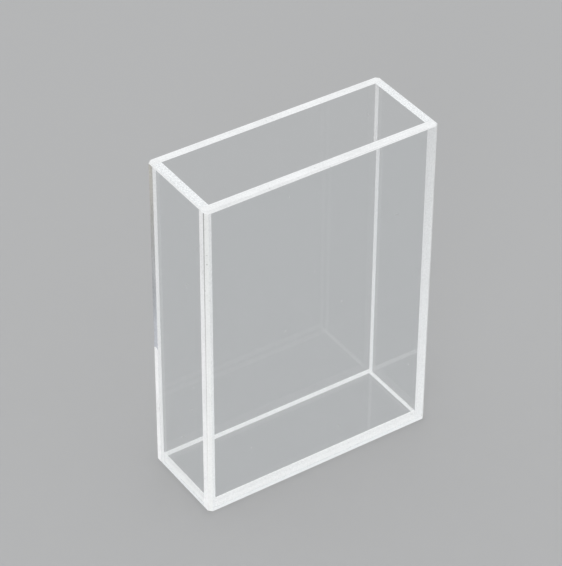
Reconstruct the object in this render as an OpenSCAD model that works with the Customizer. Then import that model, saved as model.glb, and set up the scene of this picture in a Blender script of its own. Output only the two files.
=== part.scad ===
// Rectangular optical cell: a clear open-topped box for holding a liquid in a light beam.
// Five flat polished panes are bonded edge to face. The two wide windows run the full width
// and cover the ends of the two side panes, and the base lies between all four of them.
// The bonded block is then ground on its outside corners, round its rim and round its foot.
// Units are millimetres. X is the wide way, Y the narrow way, and Z is up from the foot.

/* [Block] */
// Overall width across the two side panes
block_w = 32.5; // [22.5:0.5:65]
// Overall depth across the two windows
block_d = 12.5; // [10:0.5:32.5]
// Overall height from foot to rim
block_h = 45; // [20:0.5:80]

/* [Panes] */
// Thickness of the front and back windows
window_t = 1.25; // [0.8:0.05:2.5]
// Thickness of the left and right side panes
side_t = 1.25; // [0.8:0.05:2.5]
// Thickness of the base plate
base_t = 1.5; // [0.8:0.05:4]

/* [Bond] */
// Thickness of the bond line between two panes
bond_gap = 0.02; // [0.01:0.01:0.1]

/* [Ground edges] */
// Leg of the flat ground on each upright outside corner
corner_cut = 0.45; // [0.1:0.05:0.7]
// Leg of the fine arris round the outside of the rim
rim_cut = 0.15; // [0.05:0.05:0.4]
// Leg of the fine arris round the outside of the foot
foot_cut = 0.15; // [0.05:0.05:0.4]

/* [Hidden] */

// Distance between two opposite corner flats, measured square to them
flat_to_flat = (block_w + block_d - 2 * corner_cut) / sqrt(2);
// Faces of the windows that look into the cell, as a distance from the middle
window_inner = block_d / 2 - window_t;
// Faces of the side panes that look into the cell, as a distance from the middle
side_inner = block_w / 2 - side_t;
// How far a cutting shape runs past the block, so that no cut ends on a face
past = 1;
// Length of a cutting slab that spans the block in any direction
span = 2 * (block_w + block_d);

WINDOW_TINT = [0.88, 0.94, 0.96, 0.40];
SIDE_TINT = [0.84, 0.90, 0.93, 0.55];
BASE_TINT = [0.80, 0.87, 0.90, 0.55];

// Side view of the block between two opposite faces, with its rim and foot arrises
module ground_outline(across) {
    half = across / 2;
    polygon([
        [-half + foot_cut, 0],
        [half - foot_cut, 0],
        [half, foot_cut],
        [half, block_h - rim_cut],
        [half - rim_cut, block_h],
        [-half + rim_cut, block_h],
        [-half, block_h - rim_cut],
        [-half, foot_cut]
    ]);
}

// That outline drawn out into a slab, with its two ground faces turned about Z
module ground_slab(across, turn)
    rotate([90, 0, turn])
        linear_extrude(height = span, center = true)
            ground_outline(across);

// The outside of the bonded block after grinding: four faces, four corner flats, two arrises
module ground_block()
    intersection() {
        ground_slab(block_w, 0);
        ground_slab(block_d, 90);
        ground_slab(flat_to_flat, 45);
        ground_slab(flat_to_flat, -45);
    }

// A pane as the part of the ground block that lies between two corners
module pane(low, high)
    intersection() {
        ground_block();
        translate(low)
            cube(high - low);
    }

// One window, on the -Y side: full width and full height
module window_pane()
    pane(
        [-block_w / 2 - past, -block_d / 2 - past, -past],
        [block_w / 2 + past, -window_inner, block_h + past]
    );

// One side pane, on the -X side: its two upright ends meet the windows
module side_pane()
    pane(
        [-block_w / 2 - past, -window_inner + bond_gap, -past],
        [-side_inner, window_inner - bond_gap, block_h + past]
    );

module front_window()
    color(WINDOW_TINT)
        window_pane();

module back_window()
    color(WINDOW_TINT)
        mirror([0, 1, 0])
            window_pane();

module left_side()
    color(SIDE_TINT)
        side_pane();

module right_side()
    color(SIDE_TINT)
        mirror([1, 0, 0])
            side_pane();

// The base plate: its four edges are bonded to the insides of the four walls
module base() {
    half_w = side_inner - bond_gap;
    half_d = window_inner - bond_gap;
    color(BASE_TINT)
        translate([-half_w, -half_d, 0])
            cube([2 * half_w, 2 * half_d, base_t]);
}

front_window();
back_window();
left_side();
right_side();
base();
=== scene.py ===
# %% [markdown]
# # A bonded glass cell
# Five flat glass panes make an open box that holds a liquid in a beam of light. The large faces of each
# pane are polished, so light runs straight through them. Every edge is ground, so it scatters light and
# shows as a white line. That contrast is the whole look of the object, and each pane carries both finishes.

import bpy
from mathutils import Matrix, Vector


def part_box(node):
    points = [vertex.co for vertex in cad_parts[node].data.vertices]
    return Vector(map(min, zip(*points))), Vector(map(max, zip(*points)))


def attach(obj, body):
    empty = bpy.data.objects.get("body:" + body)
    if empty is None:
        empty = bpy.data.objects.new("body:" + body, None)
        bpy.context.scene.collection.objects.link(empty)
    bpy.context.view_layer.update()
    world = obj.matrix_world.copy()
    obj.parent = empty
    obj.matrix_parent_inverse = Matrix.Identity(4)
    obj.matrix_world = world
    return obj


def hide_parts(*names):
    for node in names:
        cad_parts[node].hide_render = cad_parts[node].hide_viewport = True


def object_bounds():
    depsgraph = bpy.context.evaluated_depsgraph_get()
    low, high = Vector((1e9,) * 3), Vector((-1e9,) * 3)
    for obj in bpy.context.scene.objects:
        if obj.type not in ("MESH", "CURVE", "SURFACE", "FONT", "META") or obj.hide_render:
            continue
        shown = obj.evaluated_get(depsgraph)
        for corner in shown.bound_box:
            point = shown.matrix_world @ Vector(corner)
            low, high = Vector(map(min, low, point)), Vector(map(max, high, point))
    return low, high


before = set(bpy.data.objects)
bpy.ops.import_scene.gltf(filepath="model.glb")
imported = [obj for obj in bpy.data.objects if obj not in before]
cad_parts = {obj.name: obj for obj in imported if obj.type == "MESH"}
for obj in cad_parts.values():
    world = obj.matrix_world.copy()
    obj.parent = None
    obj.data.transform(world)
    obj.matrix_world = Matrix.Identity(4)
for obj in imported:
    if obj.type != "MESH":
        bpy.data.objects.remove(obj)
cad_low, cad_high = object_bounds()
print("nodes that need their looks:", sorted(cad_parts))

# %% Units and modules
import math

import bpy
import bmesh
from mathutils import Matrix, Vector

MM = 0.001

# %% [markdown]
# ## The camera
# It comes first, because every choice of detail follows from what it sees. A long lens from far off keeps
# the upright edges nearly parallel. It stands to the front left, well above the rim, so that the open
# mouth and the inside of the base both show.

# %% Place the camera
FRAME_WIDTH_PX = 562
FOCAL_LENGTH_PX = 2597.0
SENSOR_WIDTH = 36.0
CAMERA_PLACE = Vector((-140.03, -205.30, 214.31)) * MM
LOOKING_DOWN = 37.373
TURNED_RIGHT = 33.954
ROLLED = 0.334
NEAREST_SEEN = 10 * MM

camera_data = bpy.data.cameras.new("camera")
camera_data.sensor_fit = "HORIZONTAL"
camera_data.sensor_width = SENSOR_WIDTH
camera_data.lens = SENSOR_WIDTH * FOCAL_LENGTH_PX / FRAME_WIDTH_PX
camera_data.clip_start = NEAREST_SEEN
camera = bpy.data.objects.new("camera", camera_data)
bpy.context.scene.collection.objects.link(camera)
camera.matrix_world = (
    Matrix.Translation(CAMERA_PLACE)
    @ Matrix.Rotation(math.radians(-TURNED_RIGHT), 4, "Z")
    @ Matrix.Rotation(math.radians(90 - LOOKING_DOWN), 4, "X")
    @ Matrix.Rotation(math.radians(ROLLED), 4, "Z")
)
bpy.context.scene.camera = camera
print("lens", round(camera_data.lens, 1), "mm")

# %% [markdown]
# ## Picking edges, faces and corners
# Operators act on whatever is selected, and the loaded nodes still are. So nothing stays selected between
# two pieces, and inside a piece the edges and faces are picked by where they lie.

# %% Helpers for picking
TOUCHING = 0.001 * MM


def clear_selection():
    bpy.ops.object.select_all(action="DESELECT")
    bpy.context.view_layer.objects.active = None


def work_on(piece, what):
    """Opens a piece for editing, with nothing in it selected. What is VERT, EDGE or FACE."""
    clear_selection()
    piece.select_set(True)
    bpy.context.view_layer.objects.active = piece
    bpy.ops.object.mode_set(mode="EDIT")
    bpy.ops.mesh.select_mode(type=what)
    bpy.ops.mesh.select_all(action="DESELECT")


def put_down():
    bpy.ops.object.mode_set(mode="OBJECT")


def same(a, b):
    return abs(a - b) < TOUCHING


def on_level(p, q, level):
    """True for an edge from p to q that lies at one height."""
    return same(p.z, level) and same(q.z, level)


def on_side(p, q, axis, place):
    """True for an edge from p to q that lies at one place along an axis."""
    return same(p[axis], place) and same(q[axis], place)


def pick_corners(piece, wanted):
    """Selects the corners whose place passes the test. Returns how many."""
    mesh = bmesh.from_edit_mesh(piece.data)
    for corner in mesh.verts:
        corner.select_set(wanted(corner.co))
    bmesh.update_edit_mesh(piece.data)
    return sum(corner.select for corner in mesh.verts)


def pick_edges(piece, wanted):
    """Selects the edges whose two ends p and q pass the test. Returns how many."""
    mesh = bmesh.from_edit_mesh(piece.data)
    for edge in mesh.edges:
        p, q = (corner.co for corner in edge.verts)
        edge.select_set(wanted(p, q))
    bmesh.update_edit_mesh(piece.data)
    return sum(edge.select for edge in mesh.edges)


def pick_faces(piece, wanted):
    """Selects the faces whose normal and middle pass the test. Returns how many."""
    mesh = bmesh.from_edit_mesh(piece.data)
    mesh.normal_update()
    for face in mesh.faces:
        face.select_set(wanted(face.normal, face.calc_center_median()))
    bmesh.update_edit_mesh(piece.data)
    return sum(face.select for face in mesh.faces)

# %% [markdown]
# ## The blank of a pane
# A glassmaker saws each pane from a polished sheet. Here a block is added at the size and place of its
# node. Its place then goes into its mesh, so that the object itself stays at the origin, as the nodes do.

# %% Cut a blank
def cut_blank(name, node):
    low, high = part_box(node)
    clear_selection()
    bpy.ops.mesh.primitive_cube_add(size=1.0, location=(low + high) / 2, scale=high - low)
    piece = bpy.context.object
    piece.name = name
    piece.data.name = name
    bpy.ops.object.transform_apply(location=True, rotation=True, scale=True)
    return piece, low, high

# %% [markdown]
# ## Grinding
# After bonding, the block is ground: flats down its four upright corners, and a fine arris round the rim
# and the foot, so that no edge is sharp enough to chip. A bevel of one segment is such a flat, and its
# offset is the leg that comes off each of the two faces.

# %% Grind flats
CORNER_CUT = 0.45 * MM
ARRIS = 0.15 * MM


def grind(piece, leg, wanted):
    """Takes a flat of that leg off each edge that passes the test."""
    work_on(piece, "EDGE")
    count = pick_edges(piece, wanted)
    bpy.ops.mesh.bevel(offset=leg, offset_type="OFFSET", segments=1, affect="EDGES")
    put_down()
    print(piece.name, "ground along", count, "edges, leg", round(leg / MM, 2), "mm")

# %% [markdown]
# ## The windows
# The two wide panes run the full width, so they take the corner flats and most of both arrises. The flats
# come first, because the arris then follows the corner that they leave. The back window is the front one
# mirrored, with its normals turned out again.

# %% Shape a window
ALONG_X, ALONG_Y, ALONG_Z = range(3)


def shape_window(name, node):
    window, low, high = cut_blank(name, node)
    grind(window, CORNER_CUT, lambda p, q: on_side(p, q, ALONG_Y, low.y) and same(p.x, q.x))
    for level in (high.z, low.z):
        grind(
            window,
            ARRIS,
            lambda p, q: on_level(p, q, level) and not on_side(p, q, ALONG_Y, high.y),
        )
    return window


def mirrored(piece, name, axis):
    """A copy with its own mesh, mirrored in the middle plane of the cell that is square to an axis."""
    clear_selection()
    piece.select_set(True)
    bpy.context.view_layer.objects.active = piece
    bpy.ops.object.duplicate(linked=False)
    copy = bpy.context.object
    copy.name = name
    copy.data.name = name
    work_on(copy, "FACE")
    bpy.ops.mesh.select_all(action="SELECT")
    sizes = [-1.0 if i == axis else 1.0 for i in (ALONG_X, ALONG_Y, ALONG_Z)]
    bpy.ops.transform.resize(value=sizes, center_override=(0, 0, 0))
    bpy.ops.mesh.normals_make_consistent(inside=False)
    put_down()
    return copy


front_window = shape_window("front_window_pane", "front_window")
back_window = mirrored(front_window, "back_window_pane", ALONG_Y)

# %% [markdown]
# ## The side panes
# They lie between the windows, so only their outer top and bottom edges carry the arris.

# %% Shape the side panes
def shape_side(name, node):
    side, low, high = cut_blank(name, node)
    for level in (high.z, low.z):
        grind(side, ARRIS, lambda p, q: on_level(p, q, level) and on_side(p, q, ALONG_X, low.x))
    return side


left_side = shape_side("left_side_pane", "left_side")
right_side = mirrored(left_side, "right_side_pane", ALONG_X)

# %% [markdown]
# ## The base
# The base plate lies between the four walls. Its top edges were stoned by hand before bonding, a hair wide,
# which leaves the fine line round the floor of the cell.

# %% Shape the base
STONED = 0.05 * MM

base, base_low, base_high = cut_blank("base_plate", "base")
grind(base, STONED, lambda p, q: on_level(p, q, base_high.z))

# %% [markdown]
# ## Marks of the hand
# The front rim was ground a little deeper at its left end than at its right, so its arris is drawn out by
# moving the corners there. Where the front window's left end meets its corner flat, the wheel left a
# hairline unground. And resin wetted the upper part of the back window's left end, which is grey and glossy
# there, down to a gable. A finish needs faces of its own, so that flat and that end are cut with planes, and
# nothing else is. The planes must cut exactly, because a cut this close to an edge would snap to it.

# %% Front arris, hairline and the wetted end
ARRIS_AT_LEFT = 0.30 * MM
ARRIS_AT_RIGHT = 0.10 * MM
HAIRLINE = 0.08 * MM
WETTED_ABOVE = 18.2 * MM
GABLE_SLOPE = math.radians(28)
back_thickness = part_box("back_window")[1].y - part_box("back_window")[0].y
CUT_EXACTLY = 0.001 * MM


def redraw_arris(window, end, leg):
    """Gives the front arris of the rim another leg at one end, which is -1 on the left and 1 on the right."""
    low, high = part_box("front_window")
    on_face = lambda p: p.x * end > 0 and same(p.y, low.y) and same(p.z, high.z - ARRIS)
    on_rim = lambda p: p.x * end > 0 and same(p.y, low.y + ARRIS) and same(p.z, high.z)
    for wanted, way in ((on_face, (0, 0, ARRIS - leg)), (on_rim, (0, leg - ARRIS, 0))):
        work_on(window, "VERT")
        count = pick_corners(window, wanted)
        bpy.ops.transform.translate(value=way)
        put_down()
        print(window.name, "arris redrawn at", count, "corner")


def cut_faces(piece, point, way, wanted):
    """Cuts only the faces that pass the test, with a plane through a point and square to a way."""
    work_on(piece, "FACE")
    pick_faces(piece, wanted)
    bpy.ops.mesh.bisect(plane_co=point, plane_no=way, threshold=CUT_EXACTLY)
    put_down()


# How much of a normal's length of 1 lies along an axis.
STRAIGHT = 0.99
SLANTED = 0.5
UPRIGHT = 0.1


def is_upright(normal, middle):
    return abs(normal.z) < UPRIGHT


def is_flat(normal, middle):
    return is_upright(normal, middle) and min(abs(normal.x), abs(normal.y)) > SLANTED


def is_left_flat(normal, middle):
    return is_flat(normal, middle) and normal.x < 0


def is_left_end(normal, middle):
    return normal.x < -STRAIGHT


redraw_arris(front_window, -1, ARRIS_AT_LEFT)
redraw_arris(front_window, 1, ARRIS_AT_RIGHT)
hairline_from = cad_low.x + HAIRLINE
cut_faces(front_window, (hairline_from, 0, 0), (1, 0, 0), is_left_flat)
gable = Vector((0, cad_high.y - (CORNER_CUT + back_thickness) / 2, WETTED_ABOVE))
slopes = [Vector((0, side * math.sin(GABLE_SLOPE), math.cos(GABLE_SLOPE))) for side in (-1, 1)]
for slope in slopes:
    cut_faces(back_window, gable, slope, is_left_end)
for window in (front_window, back_window):
    print(window.name, "has", len(window.data.polygons), "faces")

# %% [markdown]
# ## Ground glass
# A ground face is covered in tiny pits. It is white because the pits scatter light, and its grain is about
# as coarse as the grit. The wheel also leaves faint streaks along the way it ran, and now and then tears
# out a nick. One node group makes all of this, and each material places it with its own numbers.

# %% Helpers for node trees
def new_group(name, inputs, outputs):
    group = bpy.data.node_groups.new(name, "ShaderNodeTree")
    for label, value in inputs:
        item = group.interface.new_socket(name=label, in_out="INPUT", socket_type="NodeSocketFloat")
        item.default_value = value
    for label in outputs:
        group.interface.new_socket(name=label, in_out="OUTPUT", socket_type="NodeSocketFloat")
    return group, group.nodes.new("NodeGroupInput"), group.nodes.new("NodeGroupOutput")


def add_node(tree, kind, **values):
    node = tree.nodes.new(kind)
    for name, value in values.items():
        setattr(node, name, value)
    return node


def join(tree, source, target):
    tree.links.new(source, target)


def calculate(tree, operation, first, second):
    """A Math node. Each of its inputs is a number or another node's output."""
    node = add_node(tree, "ShaderNodeMath", operation=operation)
    for socket, value in ((node.inputs[0], first), (node.inputs[1], second)):
        if isinstance(value, (int, float)):
            socket.default_value = value
        else:
            join(tree, value, socket)
    return node.outputs[0]


NOISE_MIDDLE = 0.5


def noise(tree, scale, detail, stretch=None, shift=0.0):
    """Noise in the piece's own space, so much of it per metre, drawn out along an axis by stretch."""
    place = add_node(tree, "ShaderNodeTexCoord").outputs["Object"]
    if stretch or shift:
        mapping = add_node(tree, "ShaderNodeMapping")
        mapping.inputs["Scale"].default_value = stretch or (1.0, 1.0, 1.0)
        mapping.inputs["Location"].default_value = (shift, shift, shift)
        join(tree, place, mapping.inputs["Vector"])
        place = mapping.outputs["Vector"]
    texture = add_node(tree, "ShaderNodeTexNoise")
    texture.inputs["Detail"].default_value = detail
    join(tree, place, texture.inputs["Vector"])
    if isinstance(scale, (int, float)):
        texture.inputs["Scale"].default_value = scale
    else:
        join(tree, scale, texture.inputs["Scale"])
    return texture.outputs["Fac"]


def swing(tree, value, amount):
    """Turns a noise about its middle into one about zero, that swings by an amount."""
    return calculate(tree, "MULTIPLY", calculate(tree, "SUBTRACT", value, NOISE_MIDDLE), amount)


def steps_up(tree, value, low, high):
    """A mask that is 0 below low, 1 above high, and smooth between."""
    ramp = add_node(tree, "ShaderNodeMapRange", interpolation_type="SMOOTHSTEP")
    ramp.inputs["From Min"].default_value = low
    ramp.inputs["From Max"].default_value = high
    join(tree, value, ramp.inputs["Value"])
    return ramp.outputs["Result"]


HEIGHT = cad_high.z


def how_high(tree):
    """A mask that rises from 0 at the foot of the cell to 1 at its rim."""
    place = add_node(tree, "ShaderNodeSeparateXYZ")
    join(tree, add_node(tree, "ShaderNodeTexCoord").outputs["Object"], place.inputs["Vector"])
    ramp = add_node(tree, "ShaderNodeMapRange")
    ramp.inputs["From Max"].default_value = HEIGHT
    join(tree, place.outputs["Z"], ramp.inputs["Value"])
    return ramp.outputs["Result"]

# %% The grain group
STREAKS_PER_METRE = 5000.0
STREAK_DRAWN_OUT = 0.02
CLOUDS_PER_METRE = 300.0
NICKS_PER_METRE = 2600.0
NICK_STARTS, NICK_FULL = 0.66, 0.72
NICK_PATCHES_PER_METRE = 260.0
PATCH_STARTS, PATCH_FULL = 0.50, 0.62
NICK_SHIFT, PATCH_SHIFT = 0.7, 0.3
FINE_DETAIL, PLAIN_DETAIL = 2.0, 1.0
GROUND_ROUGH = 0.7
ROUGH_SWING = 0.4


def build_grain():
    """Grain of ground glass. Tone is about 1, Height is for a bump, and Rough is for Roughness."""
    group, start, end = new_group(
        "ground_grain",
        [(name, 0.0) for name in ("Pits per metre", "Grain", "Streaks", "Clouds", "Nicks", "Fade")],
        ("Tone", "Height", "Rough"),
    )
    pits = noise(group, start.outputs["Pits per metre"], FINE_DETAIL)
    streaks_x = noise(group, STREAKS_PER_METRE, FINE_DETAIL, (STREAK_DRAWN_OUT, 1.0, 1.0))
    streaks_z = noise(group, STREAKS_PER_METRE, FINE_DETAIL, (1.0, 1.0, STREAK_DRAWN_OUT))
    clouds = noise(group, CLOUDS_PER_METRE, FINE_DETAIL)
    nick_spots = noise(group, NICKS_PER_METRE, PLAIN_DETAIL, shift=NICK_SHIFT)
    nick_spots = steps_up(group, nick_spots, NICK_STARTS, NICK_FULL)
    nick_patches = noise(group, NICK_PATCHES_PER_METRE, PLAIN_DETAIL, shift=PATCH_SHIFT)
    nick_patches = steps_up(group, nick_patches, PATCH_STARTS, PATCH_FULL)
    nicks = calculate(group, "MULTIPLY", nick_spots, nick_patches)

    both_ways = calculate(group, "ADD", swing(group, streaks_x, 1.0), swing(group, streaks_z, 1.0))
    streaked = calculate(group, "MULTIPLY", both_ways, start.outputs["Streaks"])
    grained = calculate(group, "MULTIPLY", swing(group, pits, 1.0), start.outputs["Grain"])
    clouded = calculate(group, "MULTIPLY", swing(group, clouds, 1.0), start.outputs["Clouds"])
    nicked = calculate(group, "MULTIPLY", nicks, start.outputs["Nicks"])
    tone = calculate(group, "ADD", calculate(group, "ADD", grained, streaked), clouded)
    tone = calculate(group, "SUBTRACT", calculate(group, "ADD", tone, 1.0), nicked)
    # Fade greys the tone from the foot to the rim: painted shade, so that the foot looks aglow.
    faded = calculate(group, "MULTIPLY", how_high(group), start.outputs["Fade"])
    tone = calculate(group, "MULTIPLY", tone, calculate(group, "SUBTRACT", 1.0, faded))
    join(group, tone, end.inputs["Tone"])
    join(group, calculate(group, "SUBTRACT", pits, nicks), end.inputs["Height"])
    rough = calculate(group, "ADD", swing(group, pits, ROUGH_SWING), GROUND_ROUGH)
    join(group, rough, end.inputs["Rough"])
    return group


ground_grain = build_grain()

# %% [markdown]
# ## Light inside the glass
# Lamps would take forever to find their way in through bent light. So rays towards a lamp, and rays from
# a dull surface, pass straight through every face and lose a share there. Rays from the bare floor lose
# what glass mirrors away and what a ground face holds up, so the floor keeps the cell's soft shadow. Rays
# that start behind glass, at a ground face that is seen through a pane, lose next to nothing: what one face
# turns back stays in the pane and comes out at its other ground edges, which is why all of them glow.

# %% New materials
def new_material(name):
    material = bpy.data.materials.new(name)
    material.use_nodes = True
    tree = material.node_tree
    tree.nodes.clear()
    return material, tree, add_node(tree, "ShaderNodeOutputMaterial")

# %% A straight way for light
THROUGH_POLISHED = {"from outside": 0.955, "from inside": 0.997}
THROUGH_GROUND = {"from outside": 0.75, "from inside": 0.99}


def let_light_through(tree, shader, shares, output):
    """Shows the shader, but lets those shares of light straight through the face."""
    path = add_node(tree, "ShaderNodeLightPath")
    share = add_node(tree, "ShaderNodeMapRange")
    share.inputs["To Min"].default_value = shares["from outside"]
    share.inputs["To Max"].default_value = shares["from inside"]
    join(tree, path.outputs["Transmission Depth"], share.inputs["Value"])
    clear = add_node(tree, "ShaderNodeBsdfTransparent")
    join(tree, share.outputs["Result"], clear.inputs["Color"])
    for rays in ("Is Diffuse Ray", "Is Shadow Ray"):
        choice = add_node(tree, "ShaderNodeMixShader")
        join(tree, path.outputs[rays], choice.inputs[0])
        join(tree, shader, choice.inputs[1])
        join(tree, clear.outputs["BSDF"], choice.inputs[2])
        shader = choice.outputs["Shader"]
    join(tree, shader, output.inputs["Surface"])

# %% Placing the grain
def place_grain(tree, numbers):
    group = add_node(tree, "ShaderNodeGroup", node_tree=ground_grain)
    for label, value in numbers.items():
        group.inputs[label].default_value = value
    return group


def tone_colour(tree, colour, tone):
    """The colour, lighter or darker by the tone that a node gives."""
    tint = add_node(tree, "ShaderNodeMix", data_type="RGBA", blend_type="MULTIPLY")
    tint.inputs["Factor"].default_value = 1.0
    tint.inputs["A"].default_value = (*colour, 1.0)
    join(tree, tone, tint.inputs["B"])
    return tint.outputs["Result"]


def pit_bump(tree, height, depth, strength):
    bump = add_node(tree, "ShaderNodeBump")
    bump.inputs["Distance"].default_value = depth
    bump.inputs["Strength"].default_value = strength
    join(tree, height, bump.inputs["Height"])
    return bump.outputs["Normal"]

# %% [markdown]
# ## Three grinds
# The rims of the side panes were ground coarse, so their grain shows most. Their ends and the edges of the
# base are a grade finer. The windows' edges were finished finer still, which makes them smoother and
# faintly streaked. The flats and arrises were stoned last, finest of all, and are painted a little greyer,
# as painted shade for how the light falls on these slanted faces.
# Upright edges are painted whitest at the foot and greyer towards the rim, most of all on the right: a
# painted glow at the foot, where light gathered in the base and the walls comes out, and painted shade
# towards the rim. The unground hairline does the same, much more.

# %% Ground materials
GLASS_INDEX = 1.458
PIT_DEPTH = 0.02 * MM

COARSE = {"Pits per metre": 5600.0, "Grain": 1.10, "Streaks": 0.04, "Clouds": 0.08, "Nicks": 0.20}
MEDIUM = {"Pits per metre": 5200.0, "Grain": 0.45, "Streaks": 0.05, "Clouds": 0.08, "Nicks": 0.15}
FINE = {"Pits per metre": 6000.0, "Grain": 0.25, "Streaks": 0.22, "Clouds": 0.16, "Nicks": 0.15}
STONED_FINE = {"Pits per metre": 6000.0, "Grain": 0.20, "Streaks": 0.10, "Clouds": 0.10, "Nicks": 0.25}
COARSE_PITS, MEDIUM_PITS, FINE_PITS = 0.5, 0.4, 0.25

# The ends and the base edges are painted whiter than the rims: painted light, for the glow of the light that
# the panes gather and give out at these edges.
WINDOW_RIM_WHITE = (0.92, 0.935, 0.945)
WINDOW_END_WHITE = (0.955, 0.965, 0.97)
SIDE_RIM_WHITE = (0.905, 0.93, 0.945)
SIDE_END_WHITE = (0.945, 0.955, 0.96)
BASE_EDGE_WHITE = (0.965, 0.97, 0.97)
# The arrises and the flats are painted greyer than the other ground faces: painted shade for slanted faces.
ARRIS_GREY = (0.78, 0.795, 0.80)
FLAT_GREY = (0.86, 0.875, 0.87)
HAIRLINE_GREY = (0.86, 0.86, 0.86)


def build_ground(name, colour, grind, bumps, greyer=0.0):
    """A ground finish. Greyer is the share of its white that it loses from the foot to the rim, as painted
    shade.
    """
    material, tree, output = new_material(name)
    group = place_grain(tree, {**grind, "Fade": greyer})
    face = add_node(tree, "ShaderNodeBsdfPrincipled")
    face.inputs["IOR"].default_value = GLASS_INDEX
    join(tree, tone_colour(tree, colour, group.outputs["Tone"]), face.inputs["Base Color"])
    join(tree, group.outputs["Rough"], face.inputs["Roughness"])
    join(tree, pit_bump(tree, group.outputs["Height"], PIT_DEPTH, bumps), face.inputs["Normal"])
    let_light_through(tree, face.outputs["BSDF"], THROUGH_GROUND, output)
    print("finish", name)
    return material


window_rims = build_ground("ground_window_rims", WINDOW_RIM_WHITE, FINE, FINE_PITS)
window_ends = build_ground("ground_window_ends", WINDOW_END_WHITE, FINE, FINE_PITS, greyer=0.14)
side_rims = build_ground("ground_side_rims", SIDE_RIM_WHITE, COARSE, COARSE_PITS)
left_side_ends = build_ground("ground_left_side_ends", SIDE_END_WHITE, MEDIUM, MEDIUM_PITS, greyer=0.16)
right_side_ends = build_ground("ground_right_side_ends", SIDE_END_WHITE, MEDIUM, MEDIUM_PITS, greyer=0.25)
base_edges = build_ground("ground_base_edges", BASE_EDGE_WHITE, MEDIUM, MEDIUM_PITS)
painted_shade_arris = build_ground("painted_shade_arrises", ARRIS_GREY, STONED_FINE, FINE_PITS)
painted_shade_flats = build_ground("painted_shade_corner_flats", FLAT_GREY, STONED_FINE, FINE_PITS, greyer=0.13)
hairline = build_ground("unground_hairline", HAIRLINE_GREY, FINE, FINE_PITS, greyer=0.62)

# %% [markdown]
# ## The wetted end
# Where bonding resin soaked into a ground face it fills the pits, so the face scatters little and turns
# grey, with a wet gloss. It is faintly yellow near the rim, where the resin is thick, darkest below that,
# and bluish where it thins out, which a colour ramp over the height gives. Rough clear glass would be
# closer to how it works, but trapped light makes that so noisy that the stripe drowns in it.

# %% Wetted material
WETTED_TINTS = {
    18 * MM: (0.58, 0.60, 0.65),
    22 * MM: (0.49, 0.51, 0.55),
    27 * MM: (0.41, 0.425, 0.445),
    33 * MM: (0.38, 0.385, 0.385),
    43 * MM: (0.48, 0.47, 0.43),
}
WET_GLOSS_ROUGH = 0.12
WETTED = {"Pits per metre": 5000.0, "Grain": 0.08, "Streaks": 0.60, "Clouds": 0.30, "Nicks": 0.0}


def tint_by_height(tree, tints):
    """A colour that goes from tint to tint up the cell."""
    ramp = add_node(tree, "ShaderNodeValToRGB")
    join(tree, how_high(tree), ramp.inputs["Fac"])
    stops = ramp.color_ramp.elements
    while len(stops) < len(tints):
        stops.new(position=0.5)
    for stop, (level, tint) in zip(stops, tints.items()):
        stop.position = level / HEIGHT
        stop.color = (*tint, 1.0)
    return ramp.outputs["Color"]


def build_wetted(name):
    material, tree, output = new_material(name)
    group = place_grain(tree, WETTED)
    tint = add_node(tree, "ShaderNodeMix", data_type="RGBA", blend_type="MULTIPLY")
    tint.inputs["Factor"].default_value = 1.0
    join(tree, tint_by_height(tree, WETTED_TINTS), tint.inputs["A"])
    join(tree, group.outputs["Tone"], tint.inputs["B"])
    face = add_node(tree, "ShaderNodeBsdfPrincipled")
    face.inputs["IOR"].default_value = GLASS_INDEX
    face.inputs["Coat Weight"].default_value = 1.0
    face.inputs["Coat Roughness"].default_value = WET_GLOSS_ROUGH
    join(tree, tint.outputs["Result"], face.inputs["Base Color"])
    join(tree, group.outputs["Rough"], face.inputs["Roughness"])
    let_light_through(tree, face.outputs["BSDF"], THROUGH_GROUND, output)
    return material


wetted_end = build_wetted("wetted_window_end")
print(wetted_end.name, "turns white below", round(WETTED_ABOVE / MM, 1), "mm")

# %% [markdown]
# ## Polished glass
# The polished faces bend what is behind them and mirror a little of what is in front. A clear glass with no
# marks at all would look computed, so handling leaves a faint film and a few specks of dust on them, which
# another node group makes: soft noise for the film, and the middles of small cells for the specks.

# %% The handling group
FILM_PER_METRE = 90.0
FILM_DETAIL = 3.0
FILM_DRAWN_DOWN = (1.0, 1.0, 0.45)
FILM_STARTS, FILM_FULL = 0.48, 0.70
SPECKS_PER_METRE = 260.0
SPECK_SIZE = 0.025
SPECK_CORE = 0.6 * SPECK_SIZE


def build_handling():
    """Film and Specks are masks from 0 to 1."""
    group, start, end = new_group("handling", (("Amount", 1.0),), ("Film", "Specks"))
    smears = noise(group, FILM_PER_METRE, FILM_DETAIL, FILM_DRAWN_DOWN)
    film = steps_up(group, smears, FILM_STARTS, FILM_FULL)
    dots = add_node(group, "ShaderNodeTexVoronoi")
    dots.inputs["Scale"].default_value = SPECKS_PER_METRE
    join(group, add_node(group, "ShaderNodeTexCoord").outputs["Object"], dots.inputs["Vector"])
    clear_of_dots = steps_up(group, dots.outputs["Distance"], SPECK_CORE, SPECK_SIZE)
    specks = calculate(group, "SUBTRACT", 1.0, clear_of_dots)
    join(group, calculate(group, "MULTIPLY", film, start.outputs["Amount"]), end.inputs["Film"])
    join(group, calculate(group, "MULTIPLY", specks, start.outputs["Amount"]), end.inputs["Specks"])
    return group


handling = build_handling()

# %% Polished material
FILM_ROUGH = 0.035
SPECK_ROUGH = 0.5
SPECK_GREY = (0.88, 0.88, 0.87)
GLASS_TINT = (0.985, 0.995, 1.0)


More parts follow.
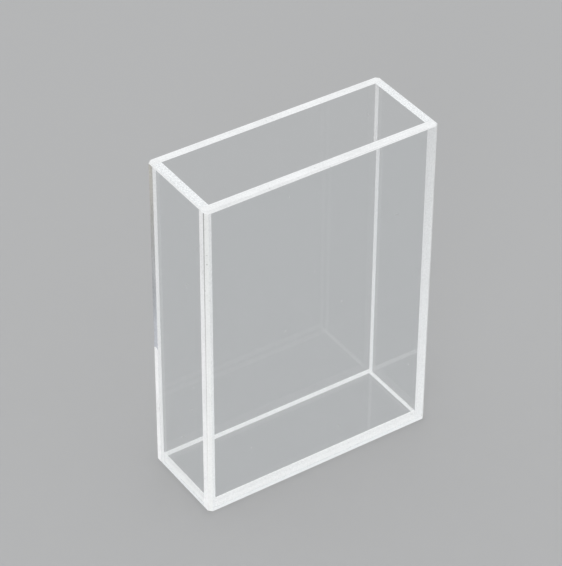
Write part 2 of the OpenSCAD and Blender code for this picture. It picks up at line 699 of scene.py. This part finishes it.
def build_polished(name, handled):
    material, tree, output = new_material(name)
    group = add_node(tree, "ShaderNodeGroup", node_tree=handling)
    group.inputs["Amount"].default_value = handled
    glass = add_node(tree, "ShaderNodeBsdfPrincipled")
    glass.inputs["Transmission Weight"].default_value = 1.0
    glass.inputs["IOR"].default_value = GLASS_INDEX
    colour = add_node(tree, "ShaderNodeMix", data_type="RGBA")
    colour.inputs["A"].default_value = (*GLASS_TINT, 1.0)
    colour.inputs["B"].default_value = (*SPECK_GREY, 1.0)
    join(tree, group.outputs["Specks"], colour.inputs["Factor"])
    join(tree, colour.outputs["Result"], glass.inputs["Base Color"])
    film = calculate(tree, "MULTIPLY", group.outputs["Film"], FILM_ROUGH)
    specks = calculate(tree, "MULTIPLY", group.outputs["Specks"], SPECK_ROUGH)
    join(tree, calculate(tree, "ADD", film, specks), glass.inputs["Roughness"])
    let_light_through(tree, glass.outputs["BSDF"], THROUGH_POLISHED, output)
    return material


window_glass = build_polished("polished_window_glass", handled=1.0)
side_glass = build_polished("polished_side_glass", handled=0.8)
base_glass = build_polished("polished_base_glass", handled=1.0)
print("clear glass, index", GLASS_INDEX, "for the windows, the sides and the base")

# %% [markdown]
# ## Laying the finishes
# Every pane is polished on its two broad faces and ground on all the rest. So a face takes the ground
# finish when its normal leaves the pane's thin way, and the finer finishes are laid over it.

# %% Helpers for laying a finish
def lay_finish(piece, material, wanted):
    """Gives the material to the faces that pass the test."""
    piece.data.materials.append(material)
    work_on(piece, "FACE")
    count = pick_faces(piece, wanted)
    piece.active_material_index = len(piece.data.materials) - 1
    bpy.ops.object.material_slot_assign()
    put_down()
    print(piece.name, count, "faces of", material.name)


LEVEL = 0.9


def is_arris(normal, middle):
    return SLANTED < abs(normal.z) < LEVEL


def finish_pane(piece, node, polished, rims, ends, thin_axis):
    piece.data.materials.append(polished)
    is_edge = lambda normal, middle: abs(normal[thin_axis]) < STRAIGHT
    is_end = lambda normal, middle: is_edge(normal, middle) and is_upright(normal, middle)
    lay_finish(piece, rims, is_edge)
    if ends:
        lay_finish(piece, ends, is_end)
        lay_finish(piece, painted_shade_arris, is_arris)
    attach(piece, "root")
    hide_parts(node)

# %% Give each pane its finishes
finish_pane(front_window, "front_window", window_glass, window_rims, window_ends, ALONG_Y)
finish_pane(back_window, "back_window", window_glass, window_rims, window_ends, ALONG_Y)
finish_pane(left_side, "left_side", side_glass, side_rims, left_side_ends, ALONG_X)
finish_pane(right_side, "right_side", side_glass, side_rims, right_side_ends, ALONG_X)
finish_pane(base, "base", base_glass, base_edges, None, ALONG_Z)

# %% Lay the flats, the hairline and the wetted end over them
def is_hairline(normal, middle):
    return is_flat(normal, middle) and middle.x < hairline_from


def is_wetted(normal, middle):
    above_gable = any((middle - gable).dot(slope) > 0 for slope in slopes)
    return is_left_end(normal, middle) and above_gable


for window in (front_window, back_window):
    lay_finish(window, painted_shade_flats, is_flat)
lay_finish(front_window, hairline, is_hairline)
lay_finish(back_window, wetted_end, is_wetted)

# %% [markdown]
# ## The stage
# A plain pale floor, a hair under the foot so that the two never share a plane. It is quite dull, so it
# has one tone from here to the horizon, and it is a shade darker than the ground edges, so that they show.

# %% Floor
FLOOR_PALE = (0.475, 0.48, 0.485)
FLOOR_METRES = 60.0
FLOOR_DROP = 0.02 * MM

clear_selection()
bpy.ops.mesh.primitive_plane_add(size=FLOOR_METRES, location=(0, 0, cad_low.z - FLOOR_DROP))
floor = bpy.context.object
floor.name = "floor"
floor_paint, tree, output = new_material("floor_paint")
paint = add_node(tree, "ShaderNodeBsdfPrincipled")
paint.inputs["Base Color"].default_value = (*FLOOR_PALE, 1.0)
paint.inputs["Roughness"].default_value = 1.0
paint.inputs["Specular IOR Level"].default_value = 0.0
join(tree, paint.outputs["BSDF"], output.inputs["Surface"])
floor.data.materials.append(floor_paint)
print("floor", round(FLOOR_DROP / MM, 2), "mm under the foot")

# %% [markdown]
# ## The light
# A bright room whose walls shine more than its ceiling, because upright faces see mostly walls, and one
# broad lamp, low on the left in front. So the rim, the front and all the sides are lit nearly alike, at a
# level where white renders as white. The corners of a glass box send a lamp's glare straight back, so the
# lamp itself is hidden from mirrors and from rays that come through the glass, and only lights. What the
# eye and the glass see beyond the floor is a backdrop of the floor's own tone.

# %% The lamp
LAMP_POWER = 1.08
LAMP_WIDTH = 25.0
LAMP_SHINES = Vector((0.68, 0.64, -0.36)).normalized()

lamp_data = bpy.data.lights.new("lamp", "SUN")
lamp_data.energy = LAMP_POWER
lamp_data.angle = math.radians(LAMP_WIDTH)
lamp = bpy.data.objects.new("lamp", lamp_data)
lamp.rotation_euler = LAMP_SHINES.to_track_quat("-Z", "Y").to_euler()
lamp.visible_glossy = False
lamp.visible_transmission = False
bpy.context.scene.collection.objects.link(lamp)
print("lamp", round(math.degrees(math.asin(-LAMP_SHINES.z)), 1), "degrees above the floor")

# %% The room
WALLS_SHINE = 1.18
CEILING_SHINES = 0.68

# A level face sees a third of the walls' light and two thirds of the ceiling's.
light_on_floor = WALLS_SHINE / 3 + CEILING_SHINES * 2 / 3 - LAMP_POWER / math.pi * LAMP_SHINES.z
print("a white floor would render at", round(light_on_floor, 3))

world = bpy.data.worlds.new("room")
bpy.context.scene.world = world
world.use_nodes = True
tree = world.node_tree
tree.nodes.clear()
ways = add_node(tree, "ShaderNodeSeparateXYZ")
join(tree, add_node(tree, "ShaderNodeTexCoord").outputs["Generated"], ways.inputs["Vector"])
height = add_node(tree, "ShaderNodeMapRange")
height.inputs["To Min"].default_value = WALLS_SHINE
height.inputs["To Max"].default_value = CEILING_SHINES
join(tree, ways.outputs["Z"], height.inputs["Value"])
room = add_node(tree, "ShaderNodeBackground")
room.inputs["Color"].default_value = (1.0, 1.0, 1.0, 1.0)
join(tree, height.outputs["Result"], room.inputs["Strength"])
backdrop = add_node(tree, "ShaderNodeBackground")
backdrop.inputs["Color"].default_value = (*FLOOR_PALE, 1.0)
backdrop.inputs["Strength"].default_value = light_on_floor
path = add_node(tree, "ShaderNodeLightPath")
seen = room.outputs["Background"]
for rays in ("Is Camera Ray", "Is Glossy Ray", "Is Transmission Ray"):
    choice = add_node(tree, "ShaderNodeMixShader")
    join(tree, path.outputs[rays], choice.inputs[0])
    join(tree, seen, choice.inputs[1])
    join(tree, backdrop.outputs["Background"], choice.inputs[2])
    seen = choice.outputs["Shader"]
join(tree, seen, add_node(tree, "ShaderNodeOutputWorld").inputs["Surface"])

# %% [markdown]
# ## Bounces
# A ray crosses up to ten faces on its way through the cell, and each crossing counts as a bounce. With too
# few of them the glass would turn black where its panes overlap. The light that goes straight through has
# a count of its own.

# %% Picture settings
LIGHT_BOUNCES = 24
CLEAR_BOUNCES = 32

scene = bpy.context.scene
scene.view_settings.view_transform = "Standard"
scene.cycles.use_denoising = True
scene.cycles.max_bounces = LIGHT_BOUNCES
scene.cycles.transmission_bounces = LIGHT_BOUNCES
scene.cycles.glossy_bounces = LIGHT_BOUNCES
scene.cycles.transparent_max_bounces = CLEAR_BOUNCES
